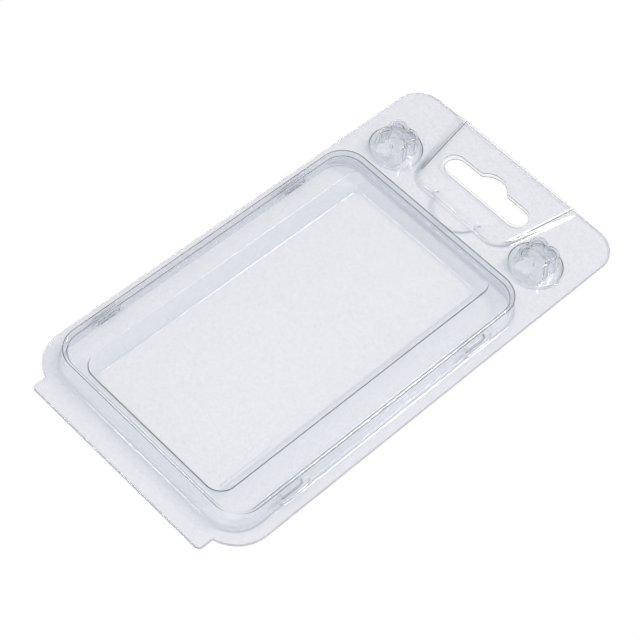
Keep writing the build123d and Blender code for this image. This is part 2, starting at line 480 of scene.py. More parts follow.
@dataclass(frozen=True)
class HangerPanel:
    """The raised panel round the slot and the half-moon step below it."""

    start: float = 134.0
    length: float = 30.0
    foot_low: float = 17.9
    foot_high: float = 26.7
    crest_low: float = 17.0
    crest_high: float = 22.2
    step: float = 1.0
    rise: float = 0.8
    dent_radius: float = 9.0
    dent_depth: float = 6.0
    dent_slope: float = 1.1
    dent_rise: float = 0.7
    corner: float = 5.0
    melt: float = 0.2
    ease: float = 0.5
    shares: tuple[float, ...] = (0.0, 0.08, 0.17, 0.28, 0.4, 0.52, 0.65, 0.78, 0.9)
    dent_shares: tuple[float, ...] = (0.0, 0.15, 0.3, 0.5, 0.7, 0.85, 1.0)
    crease_depth: tuple[float, float] = (0.26, 0.15)
    crease_width: float = 0.2
    crease_lines: tuple[float, ...] = (
        -0.6, -0.42, -0.3, -0.2, -0.1, 0.0, 0.1, 0.2, 0.3, 0.42, 0.6)
    pit_spots: tuple[tuple[float, float], ...] = ((-8.9, 136.7), (8.1, 136.6))
    pit_depth: float = 0.5
    pit_radius: float = 0.65
    pit_lines: tuple[float, ...] = (0.15, 0.3, 0.45, 0.65)
    dent_end: float = 0.6
    corner_steps: int = 16
    dent_steps: int = 36
    pit_steps: int = 12
    stride: float = 4.0
    halvings: int = 20

    def ramp(self, share: float) -> float:
        """Turn a share of a slope into a share of its height, eased at both ends."""
        share = min(1.0, max(0.0, share))
        body = 1 - self.ease
        if share < self.ease:
            return share ** 2 / (2 * self.ease * body)
        if share > body:
            return 1 - (1 - share) ** 2 / (2 * self.ease * body)
        return (share - self.ease / 2) / body

    def half_widths(self, y: float) -> tuple[float, float]:
        """Find the half widths of the foot and the crest at a place along the pack."""
        along = (y - self.start) / self.length
        foot = self.foot_low + (self.foot_high - self.foot_low) * along
        return foot, self.crest_low + (self.crest_high - self.crest_low) * along

    def half_width(self, share: float, y: float) -> float:
        """Find the half width of a line of even height at a place along the pack."""
        foot, crest = self.half_widths(y)
        return foot - share * (foot - crest)

    def depth_inside(self, share: float, point: Vector) -> float:
        """Find how far inside a line of even height a plan point lies.

        Args:
            share: The line's share of the panel's height.
            point: The plan point.

        Returns:
            The distance, less than none outside the line.
        """
        side = self.half_width(share, point.y) - abs(point.x)
        low = point.y - self.start - share * self.step
        if max(side, low) < 0 or min(side, low) > self.corner:
            return min(side, low)
        return self.corner - math.hypot(max(0.0, self.corner - side), max(0.0, self.corner - low))

    def within(self, share: float, point: Vector) -> bool:
        """Tell whether a plan point lies inside a line of even height."""
        return self.depth_inside(share, point) >= 0

    def marks(self, point: Vector) -> float:
        """Find the depth of the sharp creases beside the panel and of the pits below it.

        Args:
            point: The plan point.

        Returns:
            How deep the sheet is pressed in there.
        """
        from_crest = self.depth_inside(1.0, point)
        low = point.y - self.start - self.step
        fade = min(1.0, max(0.0, low / self.corner))
        deep = self.crease_depth[0] if point.x < 0 else self.crease_depth[1]
        sunk = deep * fade * math.exp(-(from_crest / self.crease_width) ** 2)
        for spot in self.pit_spots:
            near = (point - flat(*spot)).length / self.pit_radius
            if near < 1:
                sunk = max(sunk, self.pit_depth * (1 - near ** 2) ** 2)
        return sunk

    def panel_share(self, point: Vector) -> float:
        """Find how far up the panel's slope a plan point lies, from none to one."""
        if not self.within(0.0, point):
            return 0.0
        low, high = 0.0, 1.0
        if self.within(high, point):
            return 1.0
        for _ in range(self.halvings):
            middle = (low + high) / 2
            if self.within(middle, point):
                low = middle
            else:
                high = middle
        return low

    def height(self, point: Vector) -> float:
        """Find the height of the panel and its step over a plan point."""
        panel = self.rise * self.ramp(self.panel_share(point))
        middle = flat(0, self.start - self.dent_depth + self.dent_radius)
        rest = self.dent_radius - (point - middle).length
        dent = self.dent_rise * self.ramp(rest / self.dent_slope)
        if point.y > self.start + self.step:
            dent = 0.0
        melt = min(self.melt, panel, dent)
        near = max(0.0, melt - abs(panel - dent))
        joined = max(panel, dent) + (near ** 2 / (4 * melt) if melt > 0 else 0.0)
        return joined - self.marks(point)

    def lines(self, beyond: float) -> list[Loop]:
        """Find the lines of even height that the faces follow.

        Args:
            beyond: How far past the header's edge they run.

        Returns:
            The lines of the panel and of the step.
        """
        top = self.start + self.length + beyond
        lines = []
        runs = [(share, 0.0) for share in self.shares]
        runs += [(1.0, inwards) for inwards in self.crease_lines]
        for share, inwards in runs:
            corner = self.corner - inwards
            half = [flat(self.half_width(share, top) - inwards, top)]
            for i in range(self.corner_steps + 1):
                turn = QUARTER * i / self.corner_steps
                y = self.start + share * self.step + inwards + corner * (1 - math.sin(turn))
                x = self.half_width(share, y) - inwards - corner * (1 - math.cos(turn))
                half.append(flat(x, y))
            half = divided(half, self.stride)
            lines.append(half + [flat(-p.x, p.y) for p in reversed(half)])
        middle = flat(0, self.start - self.dent_depth + self.dent_radius)
        for share in self.dent_shares:
            radius = self.dent_radius - share * self.dent_slope
            rest = middle.y - self.start - self.step * self.dent_end
            lean = math.acos(min(1.0, rest / radius))
            lines.append(arc(middle, radius, -QUARTER - lean, -QUARTER + lean, self.dent_steps))
        for spot in self.pit_spots:
            lines += [arc(flat(*spot), radius, 0, FULL_TURN, self.pit_steps)
                      for radius in self.pit_lines]
        return lines


@dataclass(frozen=True)
class FlutedButton:
    """A button with rounded lobes, on a shallow round step."""

    core: float = 5.0
    reach: float = 6.8
    lobe: float = 3.0
    lobes: int = 4
    turn: float = QUARTER / 2
    melt: float = 0.2
    shrink: float = 0.0
    rise: float = 6.8
    top_share: float = 0.86
    top_round: float = 0.9
    foot_round: float = 0.5
    crown: float = -0.25
    crown_shares: tuple[float, ...] = (0.75, 0.45, 0.2)
    ring_radius: float = 8.58
    ring_slope: float = 0.3
    ring_rise: float = 0.5
    ring_round: float = 0.15
    ring_margin: float = 0.12
    ring_land: float = 0.25
    ring_steps: int = 3
    ring_support: float = 0.01
    foot_land: float = 0.2
    top_land: float = 1.7
    round_steps: int = 7
    support: float = 0.06
    stride: float = 0.8
    steps: int = 112
    spacing: float = 57.5
    from_fold: float = 139.2

    def outline(self, angle: float) -> float:
        """Find the fluted outline's radius at an angle."""
        part = FULL_TURN / self.lobes
        off = math.remainder(angle - self.turn, part)
        hub = self.reach - self.lobe
        lobe = self.lobe - self.shrink
        core = self.core - self.shrink
        room = lobe ** 2 - (hub * math.sin(off)) ** 2
        far = hub * math.cos(off) + math.sqrt(room) if room > 0 else 0.0
        return (core + far + math.sqrt((core - far) ** 2 + self.melt ** 2)) / 2

    def rows(self) -> list[tuple[float, float, float]]:
        """List the rows from the step inwards.

        Returns:
            Each row's even radius, its share of the fluted outline and its height.
        """
        rows: list[tuple[float, float, float]] = []
        low = self.ring_rise
        if self.ring_rise:
            inner = self.ring_radius - self.ring_slope
            ring = [flat(self.rim(), 0), flat(self.ring_radius, 0), flat(inner, low),
                    flat(inner - self.ring_land, low)]
            line = rounded_line(ring, [self.ring_round] * 2, self.ring_steps, self.ring_support)
            rows += [(p.x, 0.0, p.y) for p in line]
        side = [flat(self.foot_round + self.foot_land, low), flat(0, low), flat(0, self.rise),
                flat(-self.top_land, self.rise)]
        for spread, height in rounded_line(side, [self.foot_round, self.top_round],
                                           self.round_steps, self.support, self.stride):
            share = 1 - (1 - self.top_share) * (height - low) / (self.rise - low)
            rows.append((spread, share, height))
        spread, share, _ = rows[-1]
        for part in self.crown_shares:
            rows.append((spread * part, share * part, self.rise + self.crown * (1 - part ** 2)))
        return rows

    def rim(self) -> float:
        """Find the radius of the button's outer boundary."""
        return self.ring_radius + self.ring_margin

    def places(self) -> list[Vector]:
        """Find the middles of both buttons."""
        return [flat(side * self.spacing / 2, self.from_fold) for side in (-1, 1)]

    def loops(self) -> list[Loop]:
        """Find the outer boundary of each button."""
        first = self.rows()[0]
        return [[p.xy for p in self.row_points(middle, first, 0.0)] for middle in self.places()]

    def row_points(self, middle: Vector, row: tuple[float, float, float], level: float) -> Loop:
        """Find the points of one row.

        Args:
            middle: The button's middle in plan.
            row: The row's even radius, share of the outline and height.
            level: The height of the sheet round the button.

        Returns:
            The row's points in space.
        """
        spread, share, height = row
        points = []
        for i in range(self.steps):
            angle = FULL_TURN * i / self.steps
            plan = on_circle(middle, spread + share * self.outline(angle), angle)
            points.append(Vector((plan.x, plan.y, level + height)))
        return points

    def add_to(self, work: SheetWork, level: float) -> None:
        """Build both buttons into a sheet.

        Args:
            work: The sheet's work.
            level: The height of its upper face.
        """
        for middle in self.places():
            rings = [work.ring(self.row_points(middle, row, level)) for row in self.rows()]
            for first, second in zip(rings, rings[1:]):
                work.bridge(first, second)
            tip = work.bm.verts.new((middle.x, middle.y, level + self.rise + self.crown))
            last = rings[-1]
            for i, vert in enumerate(last):
                work.bm.faces.new((vert, last[(i + 1) % len(last)], tip))


@dataclass(frozen=True)
class PackPlan:
    """Sizes that both halves share, in millimetres from the fold."""

    fold_y: float
    sheet: float = 0.35
    skin: float = 0.3
    bubble_width: float = 76.2
    bubble_length: float = 117.2
    bubble_start: float = 8.2
    bubble_corner: float = 9.5
    bubble_top: float = 7.6
    draft: float = 9.0
    foot_round: float = 0.5
    nest_gap: float = 0.95
    lid_gap: float = 0.8
    snap_from_end: float = 22.1
    snap_margin: float = 1.5
    snap_stride: float = 0.5
    coarse_shares: tuple[float, ...] = (0.0, 0.25, 0.5, 0.75)
    mark_digits: int = 6
    outline: CutOutline = field(default_factory=CutOutline)
    cover_slot: HangingSlot = HangingSlot(width=32.9, shift=0.42)
    tray_slot: HangingSlot = HangingSlot(shift=0.85)

    def centre_y(self) -> float:
        """Find the bubble's middle."""
        return self.bubble_start + self.bubble_length / 2

    def snap_spacing(self) -> float:
        """Find the distance between the two snap dimples of a side."""
        return self.bubble_length - 2 * self.snap_from_end

    def side_marks(self, length: float) -> tuple[float, ...]:
        """Divide a long side finely at its snap dimples.

        Args:
            length: The dimple's length.

        Returns:
            Places along the side, from its middle.
        """
        reach = length / 2 + self.snap_margin
        count = round(2 * reach / self.snap_stride)
        middle = self.snap_spacing() / 2
        fine = [middle - reach + 2 * reach * i / count for i in range(count + 1)]
        coarse = [fine[0] * share for share in self.coarse_shares]
        marks = {round(sign * y, self.mark_digits) for y in fine + coarse for sign in (-1, 1)}
        return tuple(sorted(marks))

    def wall_inset(self, rise: float) -> float:
        """Find how far a drafted wall leans in over a rise."""
        return rise * math.tan(math.radians(self.draft))


@dataclass(frozen=True)
class CoverSheet:
    """The front half: flange, bubble, buttons and hanger panel."""

    plan: PackPlan
    level: float = 0.7
    foot_round: float = 0.8
    top_round: float = 0.5
    trim: float = 0.12
    snap_length: float = 12.0
    snap_radius: float = 1.9
    snap_depth: float = 0.9
    tab_start: float = 0.12
    sag: float = 0.2
    rings: tuple[float, ...] = (2.5, 6.0, 11.0, 17.0, 24.0)
    foot_land: float = 0.25
    top_land: float = 0.4
    round_steps: int = 16
    support: float = 0.08
    stride: float = 0.35
    panel_beyond: float = 0.6
    panel: HangerPanel = field(default_factory=HangerPanel)
    button: FlutedButton = field(default_factory=FlutedButton)

    def path(self) -> RoundedPath:
        """Find the bubble's foot in plan."""
        plan = self.plan
        return RoundedPath(plan.bubble_width, plan.bubble_length, plan.bubble_corner,
                           plan.centre_y(), plan.side_marks(self.snap_length))

    def profile(self) -> Loop:
        """Find the wall's profile from the flange to the edge of the bubble's top."""
        plan = self.plan
        lean = plan.wall_inset(plan.bubble_top - self.level)
        points = [flat(-self.foot_round - self.foot_land, self.level), flat(0, self.level),
                  flat(lean, plan.bubble_top),
                  flat(lean + self.top_round + self.top_land, plan.bubble_top)]
        return rounded_line(points, [self.foot_round, self.top_round],
                            self.round_steps, self.support, self.stride)

    def snaps(self) -> WallSnaps:
        """Find the dimples of the cover's wall."""
        plan = self.plan
        reach = plan.bubble_width / 2 - plan.wall_inset(self.snap_radius) + self.snap_depth
        return WallSnaps(reach, self.level + self.snap_radius, self.snap_radius, self.snap_length,
                         plan.snap_spacing(), plan.centre_y())

    def add_top(self, work: SheetWork) -> None:
        """Build the bubble's top, which sags slightly to its middle."""
        path = self.path()
        start = self.profile()[-1].x
        insets = [start, *(start + ring for ring in self.rings)]
        deepest = insets[-1]
        rows = []
        for inset in insets:
            share = (inset - start) / (deepest - start)
            height = self.plan.bubble_top - self.sag * share * share * (3 - 2 * share)
            loop = shrunk_loop(path, inset)
            rows.append(work.ring(Vector((p.x, p.y, height)) for p in loop))
        for first, second in zip(rows, rows[1:]):
            work.bridge(first, second)
        inner = [vert.co.xy for vert in rows[-1]]
        work.fill(inner, [], [], lambda point: self.plan.bubble_top - self.sag)

    def make(self, finishes: Sequence[bpy.types.Material]) -> bpy.types.Object:
        """Build the half.

        Args:
            finishes: The material of its faces and that of its cut edge.

        Returns:
            The finished object.
        """
        plan = self.plan
        work = SheetWork()
        path = self.path()
        profile = self.profile()
        work.sweep(path, profile, self.snaps())
        self.add_top(work)
        self.button.add_to(work, self.level)
        holes = [path.loop(profile[0].x), *self.button.loops(), plan.cover_slot.loop()]
        outline = plan.outline.loop(self.tab_start, self.trim)
        work.fill(outline, holes, self.panel.lines(self.panel_beyond),
                  lambda point: self.level + self.panel.height(point))
        return work.finish("front_cover_sheet", plan.fold_y, plan.skin, finishes)


def shrunk_loop(path: RoundedPath, inset: float) -> Loop:
    """Draw a path in by more than its corner allows, with as many points.

    Args:
        path: The path.
        inset: How far it is drawn in.

    Returns:
        The loop, with its corners kept a little round.
    """
    least = 0.6
    corner = max(least, path.corner - inset)
    moved = []
    for station in path.stations():
        hub = station.point - station.out * path.corner
        middle = flat(0, path.centre_y)
        off = hub - middle
        reach_x = path.width / 2 - inset - corner
        reach_y = path.length / 2 - inset - corner
        limit_x = path.width / 2 - path.corner
        limit_y = path.length / 2 - path.corner
        hub = middle + flat(off.x * reach_x / limit_x, off.y * reach_y / limit_y)
        moved.append(hub + station.out * corner)
    return moved


@dataclass(frozen=True)
class FloorScuffs:
    """Short fine scratches in the well's floor, near the fold."""

    seed: int = 4
    count: int = 11
    span: tuple[float, float] = (-9.0, 23.0)
    from_fold: tuple[float, float] = (17.3, 19.8)
    lengths: tuple[float, float] = (1.2, 2.6)
    lean: float = 2.57
    spread: float = 0.3
    rise: float = 0.09
    width: float = 0.12
    offsets: tuple[float, ...] = (-0.26, -0.12, 0.0, 0.12, 0.26)
    parts: int = 5
    jitter: float = 0.35
    overrun: float = 1.15

    def strokes(self) -> list[tuple[Vector, Vector]]:
        """Find the middle and the reach of each scratch."""
        chance = random.Random(self.seed)
        strokes = []
        for i in range(self.count):
            share = (i + chance.uniform(-self.jitter, self.jitter)) / (self.count - 1)
            x = self.span[0] + (self.span[1] - self.span[0]) * share
            angle = self.lean + chance.uniform(-self.spread, self.spread)
            reach = on_circle(flat(0, 0), chance.uniform(*self.lengths) / 2, angle)
            strokes.append((flat(x, chance.uniform(*self.from_fold)), reach))
        return strokes

    def lines(self) -> list[Loop]:
        """Find the lines that the faces follow along each scratch."""
        lines = []
        for middle, reach in self.strokes():
            side = flat(-reach.y, reach.x).normalized()
            for offset in self.offsets:
                start = middle - reach * self.overrun + side * offset
                end = middle + reach * self.overrun + side * offset
                lines.append([start.lerp(end, i / self.parts) for i in range(self.parts + 1)])
        return lines

    def height(self, point: Vector) -> float:
        """Find how far a scratch stands up over a plan point."""
        best = 0.0
        for middle, reach in self.strokes():
            off = point - middle
            along = abs(off.dot(reach)) / reach.length_squared
            across = abs(off.cross(reach)) / reach.length
            best = max(best, math.exp(-(across / self.width) ** 2) * max(0.0, 1 - along ** 2))
        return self.rise * best


@dataclass(frozen=True)
class TraySheet:
    """The back half: flange, raised frame, sunken well and button studs."""

    plan: PackPlan
    level: float = 0.305
    well_side: float = 9.1
    well_end: float = 2.65
    well_corner: float = 5.2
    well_draft: float = 24.0
    well_drift: float = 1.0
    well_marks: tuple[float, ...] = (-30.0, -15.0, 0.0, 15.0, 30.0)
    well_steps: int = 18
    well_stride: float = 1.2
    rim_round: float = 0.5
    rim_share: float = 0.8
    floor_round: float = 0.9
    floor_land: float = 0.3
    foot_land: float = 0.25
    frame_round: float = 0.6
    frame_land: float = 0.08
    frame_steps: int = 7
    frame_stride: float = 0.4
    support: float = 0.06
    scuffs: FloorScuffs = field(default_factory=FloorScuffs)
    snap_length: float = 8.0
    snap_radius: float = 1.1
    snap_clearance: float = 0.1
    snap_height: float = 2.6
    tab_start: float = 0.12
    stud: FlutedButton = FlutedButton(
        shrink=0.75, rise=6.05, ring_rise=0.0, top_round=0.7, foot_round=0.4)

    def frame_size(self) -> tuple[float, float, float, float]:
        """Find the frame's width, length, corner and top height."""
        plan = self.plan
        inset = plan.sheet + plan.nest_gap
        return (plan.bubble_width - 2 * inset, plan.bubble_length - 2 * inset,
                plan.bubble_corner - inset, plan.bubble_top - plan.sheet - plan.lid_gap)

    def frame_path(self) -> RoundedPath:
        """Find the frame's foot in plan."""
        width, length, corner, _ = self.frame_size()
        return RoundedPath(width, length, corner, self.plan.centre_y(),
                           self.plan.side_marks(self.snap_length))

    def well_path(self) -> RoundedPath:
        """Find the well's rim in plan."""
        width, length, _, _ = self.frame_size()
        return RoundedPath(width - 2 * self.well_side, length - 2 * self.well_end,
                           self.well_corner, self.plan.centre_y(), self.well_marks)

    def frame_profile(self) -> Loop:
        """Find the frame's profile from the flange to its ledge."""
        plan = self.plan
        top = self.frame_size()[3]
        lean = plan.wall_inset(top)
        base = plan.wall_inset(self.level)
        points = [flat(base - plan.foot_round - self.foot_land, self.level),
                  flat(base, self.level), flat(lean, top),
                  flat(lean + self.frame_round + self.frame_land, top)]
        return rounded_line(points, [plan.foot_round, self.frame_round],
                            self.frame_steps, self.support, self.frame_stride)

    def well_profile(self) -> Loop:
        """Find the well's profile from the ledge to its floor."""
        top = self.frame_size()[3]
        lean = (top - self.level) * math.tan(math.radians(self.well_draft))
        points = [flat(-self.rim_round * self.rim_share, top), flat(0, top),
                  flat(lean, self.level),
                  flat(lean + self.floor_round + self.floor_land, self.level)]
        return rounded_line(points, [self.rim_round, self.floor_round],
                            self.well_steps, self.support, self.well_stride)

    def snaps(self) -> WallSnaps:
        """Find the bumps of the frame's wall."""
        plan = self.plan
        mouth = plan.bubble_width / 2 - plan.wall_inset(plan.sheet) - plan.sheet
        return WallSnaps(mouth - self.snap_clearance, self.snap_height, self.snap_radius,
                         self.snap_length, plan.snap_spacing(), plan.centre_y())

    def make(self, finishes: Sequence[bpy.types.Material]) -> bpy.types.Object:
        """Build the half.

        Args:
            finishes: The material of its faces and that of its cut edge.

        Returns:
            The finished object.
        """
        plan = self.plan
        work = SheetWork()
        frame_path = self.frame_path()
        well_path = self.well_path()
        frame_profile = self.frame_profile()
        well_profile = self.well_profile()
        top = self.frame_size()[3]
        work.sweep(frame_path, frame_profile, self.snaps())
        work.sweep(well_path, well_profile, drift=self.well_drift)
        work.fill(frame_path.loop(frame_profile[-1].x), [well_path.loop(well_profile[0].x)], [],
                  lambda point: top)
        work.fill(well_path.loop(well_profile[-1].x, self.well_drift), [], self.scuffs.lines(),
                  lambda point: self.level + self.scuffs.height(point))
        self.stud.add_to(work, self.level)
        holes = [frame_path.loop(frame_profile[0].x), *self.stud.loops(), plan.tray_slot.loop()]
        work.fill(plan.outline.loop(self.tab_start, 0.0), holes, [], lambda point: self.level)
        return work.finish("back_tray_sheet", plan.fold_y, plan.skin, finishes)


@dataclass(frozen=True)
class FoldBend:
    """The round bend that joins the halves at the fold."""

    plan: PackPlan
    height: float = 0.35
    radius: float = 0.2
    length: float = 64.4
    start: float = 0.1
    turns: int = 12

    def make(self, finish: bpy.types.Material) -> bpy.types.Object:
        """Build the bend as a half tube.

        Args:
            finish: Its material.

        Returns:
            The finished object.
        """
        outer = self.radius + self.plan.skin / 2
        inner = self.radius - self.plan.skin / 2
        spots = [(outer, t) for t in range(self.turns + 1)]
        spots += [(inner, t) for t in range(self.turns, -1, -1)]
        bm = bmesh.new()
        rows = []
        for end in (-1, 1):
            row = []
            for radius, t in spots:
                angle = -QUARTER - 2 * QUARTER * t / self.turns
                y = self.start + radius * math.cos(angle) + self.plan.fold_y
                z = self.height + radius * math.sin(angle)
                row.append(bm.verts.new(Vector((end * self.length / 2, y, z)) * MM))
            rows.append(row)
        count = len(spots)
        for i in range(count):
            j = (i + 1) % count
            bm.faces.new((rows[0][i], rows[0][j], rows[1][j], rows[1][i]))
        for row in rows:
            bm.faces.new(row)
        bmesh.ops.recalc_face_normals(bm, faces=bm.faces)
        mesh = meshed(bm, "fold_bend", (finish,))
        smoothed(mesh)
        return placed("fold_bend", mesh)


@dataclass(frozen=True)
class ShaderBoard:
    """A material's node tree with short ways to add and join its nodes."""

    tree: bpy.types.NodeTree

    def add(self, kind: str, **settings: object) -> bpy.types.Node:
        """Add a node and set its named properties.

        Args:
            kind: The node's Blender type name.
            settings: Properties of the node, by name.

        Returns:
            The new node.
        """
        node = self.tree.nodes.new(kind)
        for name, value in settings.items():
            setattr(node, name, value)
        return node

    def join(self, source: bpy.types.NodeSocket, target: bpy.types.NodeSocket) -> None:
        """Link one socket to another."""
        self.tree.links.new(source, target)

    def maths(self, operation: str, first: object, second: object) -> bpy.types.NodeSocket:
        """Add a Math node on two sockets or numbers.

        Args:
            operation: The node's operation.
            first: A socket or a number.
            second: A socket or a number.

        Returns:
            The node's result socket.
        """
        node = self.add("ShaderNodeMath", operation=operation)
        for socket, value in zip(node.inputs, (first, second)):
            if isinstance(value, bpy.types.NodeSocket):
                self.join(value, socket)
            else:
                socket.default_value = value
        return node.outputs[0]

    def parts(self, place: bpy.types.NodeSocket) -> bpy.types.NodeOutputs:
        """Split a place or a direction into its X, Y and Z."""
        node = self.add("ShaderNodeSeparateXYZ")
        self.join(place, node.inputs[0])
        return node.outputs

    def mix(self, share: bpy.types.NodeSocket, first: bpy.types.NodeSocket,
            second: bpy.types.NodeSocket) -> bpy.types.NodeSocket:
        """Mix two shaders.

        Args:
            share: The socket of the second shader's share.
            first: The first shader.
            second: The second shader.

        Returns:
            The mixed shader's socket.
        """
        node = self.add("ShaderNodeMixShader")
        for source, target in zip((share, first, second), node.inputs):
            self.join(source, target)
        return node.outputs[0]

    def two_tones(self, source: bpy.types.NodeSocket, span: Sequence[float],
                  tones: Sequence[tuple[float, float, float]]) -> bpy.types.NodeSocket:
        """Turn a value into a colour between two tones.

        Args:
            source: The value's socket.
            span: The values that give the first and the second tone.
            tones: Both tones.

        Returns:
            The colour's socket.
        """
        node = self.add("ShaderNodeValToRGB")
        self.join(source, node.inputs[0])
        for point, place, tone in zip(node.color_ramp.elements, span, tones):
            point.position = place
            point.color = (*tone, 1)
        return node.outputs[0]

    def ramp(self, source: bpy.types.NodeSocket, stops: Sequence[tuple[float, float]],
             cool: float = 0.0) -> bpy.types.NodeSocket:
        """Turn a value into another along straight runs.

        Args:
            source: The value's socket.
            stops: Pairs of place and value, in order.
            cool: How much bluer the darker values are.

        Returns:
            The result socket.
        """
        node = self.add("ShaderNodeValToRGB")
        self.join(source, node.inputs[0])
        points = node.color_ramp.elements
        while len(points) < len(stops):
            points.new(RAMP_MIDDLE)
        for point, (place, value) in zip(points, stops):
            point.position = place
            point.color = (value ** (1 + cool), value ** (1 + cool * GREEN_SHARE), value, 1)
        return node.outputs[0]

    def noise(self, place: bpy.types.NodeSocket, scale: float,
              detail: float) -> bpy.types.NodeSocket:
        """Add soft noise.

        Args:
            place: The socket of the place on the sheet, in metres.
            scale: How many times the noise repeats in a metre.
            detail: How many finer layers it has.

        Returns:
            The socket of its value, around a half.
        """
        node = self.add("ShaderNodeTexNoise")
        self.join(place, node.inputs["Vector"])
        node.inputs["Scale"].default_value = scale
        node.inputs["Detail"].default_value = detail
        return node.outputs[0]

    def spread_noise(self, place: bpy.types.NodeSocket, scale: float,
                     ends: tuple[float, float]) -> bpy.types.NodeSocket:
        """Add noise that runs between two values.

        Args:
            place: The socket of the place on the sheet, in metres.
            scale: How many times the noise repeats in a metre.
            ends: The lowest and the highest value.

        Returns:
            The socket of the value.
        """
        node = self.add("ShaderNodeMapRange")
        self.join(self.noise(place, scale, SPREAD_DETAIL), node.inputs["Value"])
        node.inputs["From Min"].default_value = NOISE_SPAN[0]
        node.inputs["From Max"].default_value = NOISE_SPAN[1]
        node.inputs["To Min"].default_value = ends[0]
        node.inputs["To Max"].default_value = ends[1]
        return node.outputs[0]


def material_board(name: str) -> tuple[bpy.types.Material, ShaderBoard, bpy.types.Node]:
    """Make an empty node material.

    Args:
        name: The material's name.

    Returns:
        The material, its board and its output node.
    """
    material = bpy.data.materials.new(name)
    material.use_nodes = True
    material.node_tree.nodes.clear()
    board = ShaderBoard(material.node_tree)
    return material, board, board.add("ShaderNodeOutputMaterial")


